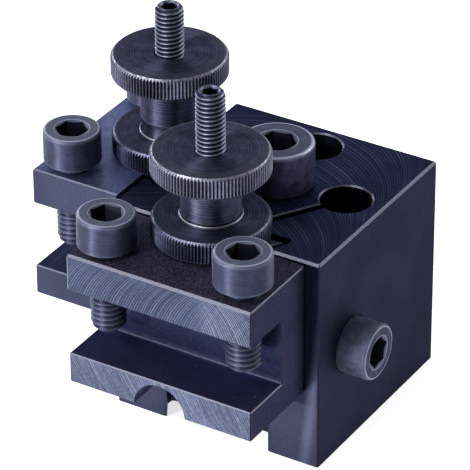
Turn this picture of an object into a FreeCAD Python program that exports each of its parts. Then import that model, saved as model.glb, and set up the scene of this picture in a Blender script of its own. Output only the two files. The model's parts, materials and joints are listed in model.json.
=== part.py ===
"""Quick-change tool turret for a small lathe.

A square steel block carries two tool holders in dovetail slots, one on its front face (-Y) and one on its
left face (-X). The origin is the middle of the block's base, +Z is up, and all sizes are in millimetres.
"""
import FreeCAD, Part
import math
import os

Vector = FreeCAD.Vector
UP = Vector(0, 0, 1)

# Block
block_size = 40.0
block_height = 40.0
block_top_chamfer = 0.4
block_left_chamfer = 0.15
block_corner_chamfer = 0.25
edge_break = 0.25

# Dovetail slots in the block
slot_corner_neck = 3.1
slot_undercut = 2.0
slot_depth = 4.9
dovetail_angle = 30.0
slot_corner_radius = 0.6
mouth_break_width = 0.6
mouth_break_depth = 0.2

# Relief holes and slits that set the clamping jaws free
relief_radius = 4.5
front_relief_wall = 2.5
front_relief_offset = 0.9
front_slit_foot = 3.2
left_relief_wall = 1.7
left_relief_offset = -0.2
left_slit_foot = 4.6
slit_width = 1.4

# Screws that close the jaws
jaw_screw_share = 0.4444
jaw_screw_height = 18.9
jaw_screw_length = 20.0
spotface_radius = 5.15
spotface_depth = 0.7
tapped_hole_reserve = 1.8

# Centre bolt
bolt_radius = 4.0
bolt_head_radius = 6.5
bolt_head_height = 8.0
bolt_socket_flats = 6.0
bolt_socket_depth = 4.0
bolt_base_gap = 2.0
bolt_hole_clearance = 0.3

# Cap screws that clamp the tools and close the jaws
screw_radius = 3.0
screw_head_radius = 5.0
screw_head_height = 6.0
screw_socket_flats = 5.0
screw_socket_depth = 3.0
screw_tip_chamfer = 0.9
clamp_screw_length = 16.0
jaw_hole_clearance = 0.3
thread_clearance = 0.05
head_rim_chamfer = 0.45
head_foot_chamfer = 0.3
socket_mouth_share = 0.28

# Tool holders
holder_end_inset = 2.3
holder_reach = 17.2
holder_web = 7.2
upper_jaw = 6.8
tool_opening = 12.4
lower_jaw = 5.7
holder_front_chamfer = 0.4
holder_edge = 0.2
tongue_root_gap = 1.8
tongue_back_gap = 0.3
tongue_chamfer = 0.3
groove_radius = 4.95
clamp_screw_end_margin = 4.6
clamp_screw_offset = 0.3

# Where each holder sits: sideways, away from the block's face, and above the block's top
front_holder_shift = -0.44
front_holder_gap = 0.1
front_holder_rise = -0.7
left_holder_shift = -0.75
left_holder_gap = 0.3
left_holder_rise = 0.5

# How far each clamp screw's head stands above its holder
front_left_head_gap = 0.8
front_right_head_gap = 1.6
left_near_head_gap = 1.2
left_far_head_gap = 1.0

# Studs and knurled nuts
stud_radius = 2.5
stud_length = 40.0
stud_depth = 12.1
stud_setback = 0.35
stud_socket_flats = 2.5
stud_socket_depth = 3.0
stud_chamfer = 0.6
stud_seat_clearance = 0.03
nut_bore_clearance = 0.05
nut_radius = 10.1
nut_disc = 4.0
nut_rim_chamfer = 0.45
knurl_count = 104
knurl_depth = 0.22
collar_radius = 5.15
collar_foot_radius = 5.4
collar_foot_height = 0.45
collar_foot_chamfer = 0.12
front_collar_length = 8.2
front_neck_depth = 0.15
front_neck_height = 0.65
front_neck_top = 0.8
left_collar_length = 10.9
left_neck_depth = 0.55
left_neck_height = 2.2
left_neck_top = 3.1

# How far a cutting solid reaches past what it cuts, and how closely edges are told apart
overcut = 1.0
knurl_overcut = 0.01
tolerance = 1e-6

half = block_size / 2
flank_slope = math.tan(math.radians(dovetail_angle))
slot_inner_half = half - slot_depth - slot_corner_neck
slot_mouth_half = slot_inner_half - slot_undercut
front_relief_depth = half + front_relief_offset
left_relief_depth = half + left_relief_offset
bolt_hole_radius = bolt_radius + bolt_hole_clearance
slot_floor_half = half - slot_depth
jaw_screw_inset = half - bolt_hole_radius - jaw_screw_share * (slot_floor_half - bolt_hole_radius)
clamp_screw_setback = (holder_web + holder_reach) / 2 - clamp_screw_offset
holder_half = half - holder_end_inset
holder_height = upper_jaw + tool_opening + lower_jaw
front_holder_top = block_height + front_holder_rise
left_holder_top = block_height + left_holder_rise


def polygon_face(points):
    """Flat face at z = 0 through plan points."""
    corners = [Vector(x, y, 0) for x, y in points]
    return Part.Face(Part.makePolygon(corners + corners[:1]))


def turned(profile, base=Vector(0, 0, 0)):
    """Solid turned about the Z axis from (radius, height) points, moved to base."""
    corners = [Vector(r, 0, z) for r, z in profile]
    solid = Part.Face(Part.makePolygon(corners + corners[:1])).revolve(Vector(0, 0, 0), UP, 360)
    solid.translate(base)
    return solid


def hexagon(across_flats, height):
    """Upright hexagonal prism on z = 0 with two corners on the X axis."""
    corner = across_flats / math.sqrt(3)
    points = [(corner * math.cos(math.radians(60 * i)), corner * math.sin(math.radians(60 * i))) for i in range(6)]
    return polygon_face(points).extrude(UP * height)


def socket(across_flats, depth, mouth_z):
    """Hexagonal recess with a drill-point floor, opening upwards at mouth_z."""
    prism = hexagon(across_flats, depth)
    prism.translate(Vector(0, 0, mouth_z - depth))
    radius = across_flats / 2
    floor = mouth_z - depth - radius * math.tan(math.radians(30))
    cone = turned([(0, floor), (radius, mouth_z - depth), (0, mouth_z - depth)])
    rim = radius * socket_mouth_share
    mouth = turned([(0, mouth_z - rim), (radius, mouth_z - rim), (radius + rim, mouth_z), (0, mouth_z)])
    return prism.fuse(cone).fuse(mouth)


def cap_screw(radius, length, head_radius, head_height, flats, socket_depth, tip_chamfer):
    """Socket cap screw with its head's underside on z = 0 and its shank pointing down."""
    blank = turned([
        (0, -length),
        (radius - tip_chamfer, -length),
        (radius, tip_chamfer - length),
        (radius, 0),
        (head_radius - head_foot_chamfer, 0),
        (head_radius, head_foot_chamfer),
        (head_radius, head_height - head_rim_chamfer),
        (head_radius - head_rim_chamfer, head_height),
        (0, head_height),
    ])
    return blank.cut(socket(flats, socket_depth, head_height))


def knurled_disc(bottom, top):
    """Disc with straight knurling between two chamfered rims."""
    rim = nut_radius - nut_rim_chamfer
    blank = turned([
        (0, bottom),
        (rim, bottom),
        (nut_radius, bottom + nut_rim_chamfer),
        (nut_radius, top - nut_rim_chamfer),
        (rim, top),
        (0, top),
    ])
    points = []
    for i in range(2 * knurl_count):
        radius = nut_radius + knurl_overcut if i % 2 == 0 else nut_radius - knurl_depth
        angle = math.pi * i / knurl_count
        points.append((radius * math.cos(angle), radius * math.sin(angle)))
    star = polygon_face(points).extrude(UP * (top - bottom))
    star.translate(Vector(0, 0, bottom))
    return blank.common(star)


def stud_bore(bottom, top):
    """Bore of a nut that turns on its stud, with a small countersink at each end."""
    radius = stud_radius + nut_bore_clearance
    return turned([
        (0, bottom - overcut),
        (radius + edge_break + overcut, bottom - overcut),
        (radius, bottom + edge_break),
        (radius, top - edge_break),
        (radius + edge_break + overcut, top + overcut),
        (0, top + overcut),
    ])


def height_nut():
    """Flat knurled nut with its underside on z = 0."""
    return knurled_disc(0, nut_disc).cut(stud_bore(0, nut_disc))


def lock_nut(collar_length, neck_depth, neck_height, neck_top):
    """Knurled nut whose collar points down and stands on z = 0.

    The collar has a neck of neck_depth above its foot, deepest at neck_height and gone at neck_top.
    """
    top = collar_length + nut_disc
    collar = turned([
        (0, 0),
        (collar_foot_radius - collar_foot_chamfer, 0),
        (collar_foot_radius, collar_foot_chamfer),
        (collar_foot_radius, collar_foot_height - collar_foot_chamfer),
        (collar_foot_radius - collar_foot_chamfer, collar_foot_height),
        (collar_radius - neck_depth, neck_height),
        (collar_radius, neck_top),
        (collar_radius, collar_length + nut_disc / 2),
        (0, collar_length + nut_disc / 2),
    ])
    return knurled_disc(collar_length, top).fuse(collar).removeSplitter().cut(stud_bore(0, top))


def height_stud():
    """Socket set screw with its lower end on z = 0."""
    rod = turned([
        (0, 0),
        (stud_radius - stud_chamfer, 0),
        (stud_radius, stud_chamfer),
        (stud_radius, stud_length - stud_chamfer),
        (stud_radius - stud_chamfer, stud_length),
        (0, stud_length),
    ])
    return rod.cut(socket(stud_socket_flats, stud_socket_depth, stud_length))


def slot_plan():
    """Dovetail slot in plan, its mouth on the line y = 0 and its depth towards +Y, as (x, y) points."""
    right = [
        (slot_mouth_half + mouth_break_width, -overcut),
        (slot_mouth_half + mouth_break_width, 0),
        (slot_mouth_half + mouth_break_depth * flank_slope, mouth_break_depth),
        (slot_inner_half, slot_undercut / flank_slope),
        (slot_inner_half, slot_depth),
    ]
    return right + [(-x, y) for x, y in reversed(right)]


def is_upright(edge):
    """True for a straight edge along Z."""
    box = edge.BoundBox
    return box.XLength < tolerance and box.YLength < tolerance


def jaw_cut(relief_wall, relief_depth, slit_foot):
    """Dovetail slot, relief hole and slit of the front jaw, cut right through, with their edges broken on top.

    relief_wall is the metal left beside the hole, relief_depth the hole's distance behind the face, and
    slit_foot the distance from the slot's centre line to the place where the slit meets its floor.
    """
    tall = block_height + 2 * overcut
    slot = polygon_face(slot_plan()).extrude(UP * tall)
    inner = [e for e in slot.Edges if is_upright(e) and e.BoundBox.YMin > slot_depth - tolerance]
    slot = slot.makeFillet(slot_corner_radius, inner)
    hole_centre = Vector(half - relief_wall - relief_radius, relief_depth, 0)
    foot = Vector(slit_foot, slot_depth, 0)
    along = (hole_centre - foot).normalize()
    across = Vector(along.y, -along.x, 0)

    hole = Part.makeCylinder(relief_radius, tall, hole_centre)
    side = across * (slit_width / 2)
    corners = [foot - along - side, hole_centre - side, hole_centre + side, foot - along + side]
    slit = Part.Face(Part.makePolygon(corners + corners[:1])).extrude(UP * tall)
    cut = slot.fuse(hole).fuse(slit)
    cut.translate(UP * -overcut)
    rim_radius = relief_radius + edge_break + overcut
    rim_foot = hole_centre + UP * (block_height - edge_break)
    rim = Part.makeCone(relief_radius, rim_radius, edge_break + overcut, rim_foot)
    lip_foot = foot - along + UP * (block_height - edge_break)
    lip_rise = UP * (edge_break + overcut)
    wide = across * (slit_width / 2 + edge_break + overcut)
    corners = [lip_foot - side, lip_foot + side, lip_foot + wide + lip_rise, lip_foot - wide + lip_rise]
    lip_length = (hole_centre - foot).Length + along.Length
    lip = Part.Face(Part.makePolygon(corners + corners[:1])).extrude(along * lip_length)
    cut = cut.fuse(rim).fuse(lip)
    cut.translate(Vector(0, -half, 0))
    return cut


def jaw_screw_cut(relief_wall, relief_depth, slit_foot):
    """Spotface, clearance hole and tapped hole for the screw that closes the front jaw from the right face."""
    y = jaw_screw_inset - half
    hole_x = half - relief_wall - relief_radius
    slit_slope = (hole_x - slit_foot) / (relief_depth - slot_depth)
    slit_x = slit_foot + slit_slope * (jaw_screw_inset - slot_depth)
    inwards = Vector(-1, 0, 0)
    mouth = Vector(half + overcut, y, jaw_screw_height)
    spotface = Part.makeCylinder(spotface_radius, spotface_depth + overcut, mouth, inwards)
    clearance = Part.makeCylinder(screw_radius + jaw_hole_clearance, half + overcut - slit_x, mouth, inwards)
    depth = overcut + spotface_depth + jaw_screw_length + tapped_hole_reserve
    tapped = Part.makeCylinder(screw_radius + thread_clearance, depth, mouth, inwards)
    return spotface.fuse(clearance).fuse(tapped)


def mirrored(shape):
    """The same shape on the left face: X and Y change places."""
    return shape.mirror(Vector(0, 0, 0), Vector(1, -1, 0))


def tool_post_block():
    """Square block with both dovetails, jaws, screw holes and the bolt hole."""
    block = Part.makeBox(block_size, block_size, block_height, Vector(-half, -half, 0))
    corners = [e for e in block.Edges if is_upright(e)]
    block = block.makeChamfer(block_corner_chamfer, corners)
    rim = [e for e in block.Edges if e.BoundBox.ZMin > block_height - tolerance and e.BoundBox.XMax > tolerance - half]
    block = block.makeChamfer(block_top_chamfer, rim)
    left_rim = [e for e in block.Edges if e.BoundBox.ZMin > block_height - tolerance
                and e.BoundBox.XMax < tolerance - half + block_left_chamfer]
    block = block.makeChamfer(block_left_chamfer, left_rim)
    front = (front_relief_wall, front_relief_depth, front_slit_foot)
    left = (left_relief_wall, left_relief_depth, left_slit_foot)
    bolt_hole = Part.makeCylinder(bolt_hole_radius, block_height + 2 * overcut, Vector(0, 0, -overcut))
    block = block.cut(jaw_cut(*front)).cut(mirrored(jaw_cut(*left)))
    return block.cut(jaw_screw_cut(*front)).cut(mirrored(jaw_screw_cut(*left))).cut(bolt_hole)


def placed(shape, shift, gap, top):
    """Move a piece of the front holder from the holder's own frame to its place on the block."""
    moved = shape.copy()
    moved.translate(Vector(shift, -half - gap, top))
    return moved


def holder():
    """Tool holder in its own frame: the back face on y = 0, the tool side towards -Y, the top on z = 0."""
    slot_top = -upper_jaw
    slot_floor = slot_top - tool_opening
    bottom = -holder_height
    side = [
        (0, 0),
        (holder_front_chamfer - holder_reach, 0),
        (-holder_reach, -holder_front_chamfer),
        (-holder_reach, slot_top + holder_edge),
        (holder_edge - holder_reach, slot_top),
        (-holder_web, slot_top),
        (-holder_web, slot_floor),
        (holder_edge - holder_reach, slot_floor),
        (-holder_reach, slot_floor - holder_edge),
        (-holder_reach, bottom + holder_edge),
        (holder_edge - holder_reach, bottom),
        (0, bottom),
    ]
    corners = [Vector(-holder_half, y, z) for y, z in side]
    body = Part.Face(Part.makePolygon(corners + corners[:1])).extrude(Vector(2 * holder_half, 0, 0))
    groove_length = holder_reach + slot_depth + 2 * overcut
    groove_start = Vector(0, -holder_reach - overcut, bottom)
    groove = Part.makeCylinder(groove_radius, groove_length, groove_start, Vector(0, 1, 0))
    ends = [e for e in body.Edges if e.BoundBox.XLength < tolerance]
    body = body.makeChamfer(holder_edge, ends)
    root = slot_mouth_half - tongue_root_gap
    depth = slot_depth - tongue_back_gap
    tip = root + depth * flank_slope
    outline = [(-root, 0), (-tip, depth), (tip, depth), (root, 0), (root, -holder_web / 2), (-root, -holder_web / 2)]
    tongue = polygon_face(outline).extrude(UP * holder_height)
    tongue.translate(UP * bottom)
    rims = [e for e in tongue.Edges if e.BoundBox.ZLength < tolerance and e.BoundBox.YMax > tolerance]
    tongue = tongue.makeChamfer(tongue_chamfer, rims)
    shape = body.fuse(tongue).removeSplitter().cut(groove)
    for x in clamp_screw_places():
        shape = shape.cut(clamp_screw_hole(x))
    seat = turned([
        (0, -stud_depth),
        (stud_radius + stud_seat_clearance, -stud_depth),
        (stud_radius + stud_seat_clearance, -edge_break),
        (stud_radius + edge_break + overcut, overcut),
        (0, overcut),
    ], Vector(0, -stud_setback, 0))
    return shape.cut(seat)


def clamp_screw_places():
    """X of the two tool clamp screws in the holder's own frame."""
    side = holder_half - clamp_screw_end_margin
    return [-side, side]


def clamp_screw_hole(x):
    """Tapped hole through the holder's upper jaw, countersunk on top."""
    radius = screw_radius + thread_clearance
    return turned([
        (0, -upper_jaw - overcut),
        (radius, -upper_jaw - overcut),
        (radius, -edge_break),
        (radius + edge_break + overcut, overcut),
        (0, overcut),
    ], Vector(x, -clamp_screw_setback, 0))


def clamp_screw(x, head_gap):
    """Tool clamp screw in the holder's own frame, its head standing head_gap above the holder."""
    screw = cap_screw(screw_radius, clamp_screw_length, screw_head_radius, screw_head_height, screw_socket_flats,
                      screw_socket_depth, screw_tip_chamfer)
    screw.translate(Vector(x, -clamp_screw_setback, head_gap))
    return screw


def jaw_screw():
    """Screw that closes the front jaw, driven in from the right face and seated in its spotface."""
    screw = cap_screw(screw_radius, jaw_screw_length, screw_head_radius, screw_head_height, screw_socket_flats,
                      screw_socket_depth, screw_tip_chamfer)
    screw.rotate(Vector(0, 0, 0), Vector(0, 1, 0), 90)
    screw.translate(Vector(half - spotface_depth, jaw_screw_inset - half, jaw_screw_height))
    return screw


def centre_bolt():
    """Bolt that holds the block down, its head on the block's top."""
    bolt = cap_screw(bolt_radius, block_height - bolt_base_gap, bolt_head_radius, bolt_head_height,
                     bolt_socket_flats, bolt_socket_depth, screw_tip_chamfer)
    bolt.translate(UP * block_height)
    return bolt


def holder_set(shift, gap, top, nut_seat, collar, head_gaps):
    """One holder with its stud, nuts and clamp screws, all as on the front face.

    Returns a dictionary of piece name to shape. nut_seat is the height that the lower nut stands on, and collar
    holds the lock nut's own sizes.
    """
    axis = Vector(shift, -half - gap - stud_setback, 0)
    stud = height_stud()
    stud.translate(axis + UP * (top - stud_depth))
    lower = height_nut()
    lower.translate(axis + UP * nut_seat)
    upper = lock_nut(*collar)
    upper.translate(axis + UP * (nut_seat + nut_disc))
    low_x, high_x = clamp_screw_places()
    return {
        "holder": placed(holder(), shift, gap, top),
        "height_stud": stud,
        "height_nut": lower,
        "lock_nut": upper,
        "clamp_screw_low": placed(clamp_screw(low_x, head_gaps[0]), shift, gap, top),
        "clamp_screw_high": placed(clamp_screw(high_x, head_gaps[1]), shift, gap, top),
    }


def build():
    """All pieces of the turret by node name."""
    front_seat = max(block_height, front_holder_top)
    left_seat = max(block_height, left_holder_top)
    front_collar = (front_collar_length, front_neck_depth, front_neck_height, front_neck_top)
    left_collar = (left_collar_length, left_neck_depth, left_neck_height, left_neck_top)
    front = holder_set(front_holder_shift, front_holder_gap, front_holder_top, front_seat, front_collar,
                       (front_left_head_gap, front_right_head_gap))
    left = holder_set(left_holder_shift, left_holder_gap, left_holder_top, left_seat, left_collar,
                      (left_near_head_gap, left_far_head_gap))
    return {
        "tool_post_block": tool_post_block(),
        "centre_bolt": centre_bolt(),
        "side_clamp_screw": jaw_screw(),
        "rear_clamp_screw": mirrored(jaw_screw()),
        "front_holder": front["holder"],
        "front_height_stud": front["height_stud"],
        "front_height_nut": front["height_nut"],
        "front_lock_nut": front["lock_nut"],
        "front_clamp_screw_left": front["clamp_screw_low"],
        "front_clamp_screw_right": front["clamp_screw_high"],
        "left_holder": mirrored(left["holder"]),
        "left_height_stud": mirrored(left["height_stud"]),
        "left_height_nut": mirrored(left["height_nut"]),
        "left_lock_nut": mirrored(left["lock_nut"]),
        "left_clamp_screw_near": mirrored(left["clamp_screw_low"]),
        "left_clamp_screw_far": mirrored(left["clamp_screw_high"]),
    }


os.makedirs("parts", exist_ok=True)
for name, shape in build().items():
    print(name, "solids", len(shape.Solids), "volume", round(shape.Volume, 2), "valid", shape.isValid())
    shape.exportStep("parts/" + name + ".step")
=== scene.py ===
"""Looks of a small lathe's quick-change tool turret.

The blackened steel block and its two tool holders keep the frame's solids and get milled finishes. The
screws, studs and knurled nuts are made again here with their threads, knurling, sockets and rounded rims.
"""
import json
import logging
import math
from collections.abc import Sequence
from dataclasses import dataclass, field, replace
from enum import Enum
from functools import reduce

import bmesh
import bpy
import numpy as np
from mathutils import Matrix, Vector


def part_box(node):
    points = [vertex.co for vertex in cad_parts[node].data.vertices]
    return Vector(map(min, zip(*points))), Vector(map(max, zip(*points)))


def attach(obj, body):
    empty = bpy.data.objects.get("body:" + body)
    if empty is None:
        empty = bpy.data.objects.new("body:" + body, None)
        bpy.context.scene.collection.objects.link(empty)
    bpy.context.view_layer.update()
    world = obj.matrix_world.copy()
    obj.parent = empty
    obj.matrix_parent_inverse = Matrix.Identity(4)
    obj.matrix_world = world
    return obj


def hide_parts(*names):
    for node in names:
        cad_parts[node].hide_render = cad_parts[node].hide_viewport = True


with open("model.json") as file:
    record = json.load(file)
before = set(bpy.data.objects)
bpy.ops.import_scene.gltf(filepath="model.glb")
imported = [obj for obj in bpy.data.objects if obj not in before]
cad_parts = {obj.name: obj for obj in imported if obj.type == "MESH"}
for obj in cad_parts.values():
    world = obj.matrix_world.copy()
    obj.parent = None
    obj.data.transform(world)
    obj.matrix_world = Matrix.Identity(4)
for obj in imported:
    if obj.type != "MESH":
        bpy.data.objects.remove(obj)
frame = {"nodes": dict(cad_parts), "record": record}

MM = 0.001
# Room left under a head or a lock nut where it seats, in millimetres.
SEAT_GAP = 0.02
# Depth of a thread as a share of its pitch.
THREAD_DEPTH = 0.6134
# A hexagon's width across its flats as a share of its width across its corners.
FLATS_SHARE = math.cos(math.pi / 6)
# Depth that a finish's bump stands for, in metres.
BUMP_DEPTH = 0.02 * MM
# What the grain adds to a finish's roughness.
GRAIN_ROUGHNESS = 0.08
# A place beyond every face of the object, in millimetres.
FAR = 100.0
# Distance over which one part of a face gives way to the next, in millimetres.
FADE = 0.5
# Distances within which points are welded, on a grown seam and on a finished mesh, in metres.
SEAM_WELD = 0.002 * MM
MESH_WELD = 0.004 * MM
# Length below which an edge is dissolved, in metres.
SHORTEST_EDGE = 0.001 * MM

Colour = tuple[float, float, float]
Value = bpy.types.NodeSocket
log = logging.getLogger("turret")


class Socket(Enum):
    """Kinds of socket on a node group."""

    VALUE = "NodeSocketFloat"
    COUNT = "NodeSocketInt"
    VECTOR = "NodeSocketVector"
    GEOMETRY = "NodeSocketGeometry"
    MATERIAL = "NodeSocketMaterial"


class Axis(Enum):
    """Direction in which a screw's head points."""

    UP = (0.0, 0.0, 1.0)
    RIGHT = (1.0, 0.0, 0.0)
    BACK = (0.0, 1.0, 0.0)


class NodeSheet:
    """Adds and links nodes in one shader or geometry tree."""

    def __init__(self, tree: bpy.types.NodeTree) -> None:
        """Start on a shader or geometry tree."""
        self.tree = tree

    def fill(self, node: bpy.types.Node, inputs: dict) -> None:
        """Link inputs of a node, or set their plain values.

        Args:
            node: The node.
            inputs: Input name or index to another node's output or plain value.
        """
        for key, value in inputs.items():
            if isinstance(value, bpy.types.NodeSocket):
                self.tree.links.new(value, node.inputs[key])
            else:
                node.inputs[key].default_value = value

    def add(self, kind: str, inputs: dict | None = None, **settings: object) -> bpy.types.Node:
        """Add one node.

        Args:
            kind: Node type.
            inputs: Input name or index to output or plain value.
            **settings: Node properties.

        Returns:
            The new node.
        """
        node = self.tree.nodes.new(kind)
        for name, value in settings.items():
            setattr(node, name, value)
        self.fill(node, inputs or {})
        return node

    def group(self, tree: bpy.types.NodeTree, inputs: dict | None = None) -> bpy.types.NodeOutputs:
        """Outputs of a node group placed in this tree."""
        return self.add("ShaderNodeGroup", inputs, node_tree=tree).outputs

    def math(self, operation: str, *values: object, clamp: bool = False) -> Value:
        """Result of a maths node.

        Args:
            operation: Name of the operation.
            *values: Sockets or numbers, in order.
            clamp: Keep the result from 0 to 1.

        Returns:
            The node's output.
        """
        inputs = dict(enumerate(values))
        return self.add("ShaderNodeMath", inputs, operation=operation, use_clamp=clamp).outputs[0]

    def fold(self, operation: str, values: Sequence[object]) -> Value:
        """One maths operation on two or more values, from the left."""
        return reduce(lambda total, value: self.math(operation, total, value), values)

    def times(self, *values: object) -> Value:
        """Product of the values."""
        return self.fold("MULTIPLY", values)

    def plus(self, *values: object) -> Value:
        """Sum of the values."""
        return self.fold("ADD", values)

    def most(self, *values: object) -> Value:
        """Largest of the values."""
        return self.fold("MAXIMUM", values)

    def least(self, *values: object) -> Value:
        """Smallest of the values."""
        return self.fold("MINIMUM", values)

    def minus(self, first: object, second: object) -> Value:
        """First value less the second."""
        return self.math("SUBTRACT", first, second)

    def rest(self, share: object) -> Value:
        """What is left of 1 after a share."""
        return self.math("SUBTRACT", 1.0, share)

    def blend(self, share: object, first: object, second: object) -> Value:
        """Mix of two numbers, with a share of the second from 0 to 1."""
        return self.add("ShaderNodeMix", {0: share, 2: first, 3: second}, data_type="FLOAT").outputs[0]

    def tint(self, share: object, first: object, second: object) -> Value:
        """Mix of two colours, with a share of the second from 0 to 1."""
        ends = [(*c, 1.0) if isinstance(c, tuple) else c for c in (first, second)]
        return self.add("ShaderNodeMix", {0: share, 6: ends[0], 7: ends[1]}, data_type="RGBA").outputs[2]

    def ramp(self, value: object, low: float, high: float) -> Value:
        """Smooth step from 0 where the value is low to 1 where it is high."""
        inputs = {"Value": value, "From Min": low, "From Max": high}
        return self.add("ShaderNodeMapRange", inputs, interpolation_type="SMOOTHSTEP").outputs["Result"]

    def scaled(self, vector: object, share: object) -> Value:
        """A colour or a place times a number."""
        return self.add("ShaderNodeVectorMath", {0: vector, "Scale": share}, operation="SCALE").outputs[0]

    def reach(self, place: object, direction: Sequence[float]) -> Value:
        """How far a place lies in a direction."""
        node = self.add("ShaderNodeVectorMath", {0: place, 1: direction}, operation="DOT_PRODUCT")
        return node.outputs["Value"]

    def split(self, vector: object) -> Sequence[Value]:
        """The three parts of a place or a direction."""
        return self.add("ShaderNodeSeparateXYZ", {0: vector}).outputs[:3]

    def place_in_mm(self) -> Value:
        """Object coordinates in millimetres."""
        return self.scaled(self.add("ShaderNodeTexCoord").outputs["Object"], 1 / MM)

    def noise(self, place: object, scale: float, detail: float, rough: float = 0.5,
              line: bool = False) -> Value:
        """Value of a noise texture.

        Args:
            place: Where to read it.
            scale: Size of the pattern.
            detail: Number of finer layers.
            rough: Strength of the finer layers.
            line: Read it along a line, with one number for the place.

        Returns:
            The texture's value.
        """
        inputs = {"W" if line else "Vector": place, "Scale": scale, "Detail": detail, "Roughness": rough}
        return self.add("ShaderNodeTexNoise", inputs, noise_dimensions="1D" if line else "3D").outputs[0]


def numbers(*names: str) -> dict[str, Socket]:
    """Number sockets with these names."""
    return {name: Socket.VALUE for name in names}


def new_group(kind: str, name: str, inputs: dict[str, Socket], outputs: dict[str, Socket]) -> tuple:
    """Make an empty node group.

    Args:
        kind: Tree type.
        name: Name of the group.
        inputs: Input name to kind of socket.
        outputs: Output name to kind of socket.

    Returns:
        The sheet, the group's input sockets and its output node.
    """
    tree = bpy.data.node_groups.new(name, kind)
    for direction, sockets in (("INPUT", inputs), ("OUTPUT", outputs)):
        for title, socket in sockets.items():
            tree.interface.new_socket(name=title, in_out=direction, socket_type=socket.value)
    return NodeSheet(tree), tree.nodes.new("NodeGroupInput").outputs, tree.nodes.new("NodeGroupOutput")


def facing_group() -> bpy.types.NodeTree:
    """Group that tells which way a face looks, in the piece's own axes.

    Returns:
        A group with masks for each direction, for bevels that look up or down, and for upright bevels that
        look left or right.
    """
    names = ("Up", "Front", "Left", "Right", "Back", "Bevel", "Under", "Left corner", "Right corner")
    sheet, _, result = new_group("ShaderNodeTree", "facing", {}, numbers(*names))
    normal = sheet.add("ShaderNodeNewGeometry").outputs["True Normal"]
    turned = sheet.add("ShaderNodeVectorTransform", {0: normal}, vector_type="NORMAL", convert_from="WORLD",
                       convert_to="OBJECT").outputs[0]
    x, y, z = sheet.split(turned)
    left, front, down = (sheet.times(part, -1.0) for part in (x, y, z))
    for name, part in {"Up": z, "Front": front, "Left": left, "Right": x, "Back": y}.items():
        sheet.fill(result, {name: sheet.ramp(part, 0.90, 0.98)})
    sizes = [sheet.math("ABSOLUTE", part) for part in (x, y, z)]
    slanted = sheet.ramp(sheet.rest(sheet.most(*sizes)), 0.08, 0.2)
    upright = sheet.times(slanted, sheet.rest(sheet.ramp(sizes[2], 0.05, 0.2)))
    for name, share, part, low, high in (
            ("Bevel", slanted, z, 0.2, 0.5), ("Under", slanted, down, 0.2, 0.5),
            ("Left corner", upright, left, 0.0, 0.2), ("Right corner", upright, x, 0.0, 0.2)):
        sheet.fill(result, {name: sheet.times(share, sheet.ramp(part, low, high))})
    return sheet.tree


def cutter_group() -> bpy.types.NodeTree:
    """Group for the arcs that a face mill leaves as it feeds along a face.

    Returns:
        A group whose height and glint change from arc to arc.
    """
    inputs = numbers("Along", "Across", "Middle", "Radius", "Feed", "Side", "Even")
    sheet, given, result = new_group("ShaderNodeTree", "cutter arcs", inputs, numbers("Height", "Glint"))
    away = sheet.minus(given["Across"], given["Middle"])
    square = sheet.minus(sheet.times(given["Radius"], given["Radius"]), sheet.times(away, away))
    reach = sheet.math("SQRT", sheet.most(square, 0.0))
    place = sheet.plus(given["Along"], sheet.times(given["Side"], reach))
    phase = sheet.math("DIVIDE", place, given["Feed"])
    wave = sheet.math("SINE", sheet.times(phase, math.tau))
    height = sheet.plus(sheet.times(wave, given["Even"]), sheet.noise(phase, 0.55, 4.0, 0.8, line=True))
    sheet.fill(result, {"Height": height, "Glint": sheet.ramp(height, 0.42, 0.85)})
    return sheet.tree


def grain_group() -> bpy.types.NodeTree:
    """Group for the fine grain and the faint clouds of a blackened surface.

    Returns:
        A group with fine grain, bright specks, blotches and broad clouds, each from 0 to 1.
    """
    layers = {"Grain": (3.2, 4.0, 0.7, 0.3, 0.7), "Specks": (2.1, 2.0, 0.5, 0.70, 0.80),
              "Blotches": (0.6, 4.0, 0.5, 0.35, 0.65), "Clouds": (0.09, 3.0, 0.5, 0.3, 0.7)}
    place = {"Place": Socket.VECTOR}
    sheet, given, result = new_group("ShaderNodeTree", "oxide grain", place, numbers(*layers))
    for name, (scale, detail, rough, low, high) in layers.items():
        layer = sheet.noise(given["Place"], scale, detail, rough)
        sheet.fill(result, {name: sheet.ramp(layer, low, high)})
    return sheet.tree


def turning_group() -> bpy.types.NodeTree:
    """Group for the fine rings that a lathe tool leaves along a turned profile.

    Returns:
        A group whose height changes with the distance along the profile, in millimetres.
    """
    outputs = numbers("Height", "Glint")
    sheet, given, result = new_group("ShaderNodeTree", "turning rings", numbers("Distance"), outputs)
    rings = sheet.noise(given["Distance"], 4.5, 3.0, 0.7, line=True)
    sheet.fill(result, {"Height": rings, "Glint": sheet.ramp(rings, 0.42, 0.72)})
    return sheet.tree


@dataclass(frozen=True)
class Arcs:
    """One set of cutter arcs on a flat face, in millimetres, with the part of the face that it covers."""

    middle: float
    radius: float
    feed: float
    side: float
    start: float = -FAR
    low: float = -FAR
    high: float = FAR
    gain: float = 1.0
    even: float = 0.14
    run_in: float = 5.0


@dataclass(frozen=True)
class Sheen:
    """Soft band of light across a face, square to a direction, in millimetres."""

    direction: tuple[float, float, float]
    centre: float
    half_width: float
    share: float


@dataclass(frozen=True)
class HoleRim:
    """Painted highlight on the edge of a hole in an upper face, in millimetres, brightest towards its bright
    side.
    """

    x: float
    y: float
    radius: float
    width: float = 0.16
    bright_side: tuple[float, float] = (0.854, 0.520)
    faint: float = 0.25


@dataclass(frozen=True)
class Groups:
    """The shader groups that the finishes share."""

    facing: bpy.types.NodeTree
    cutter: bpy.types.NodeTree
    grain: bpy.types.NodeTree
    turning: bpy.types.NodeTree


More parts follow.
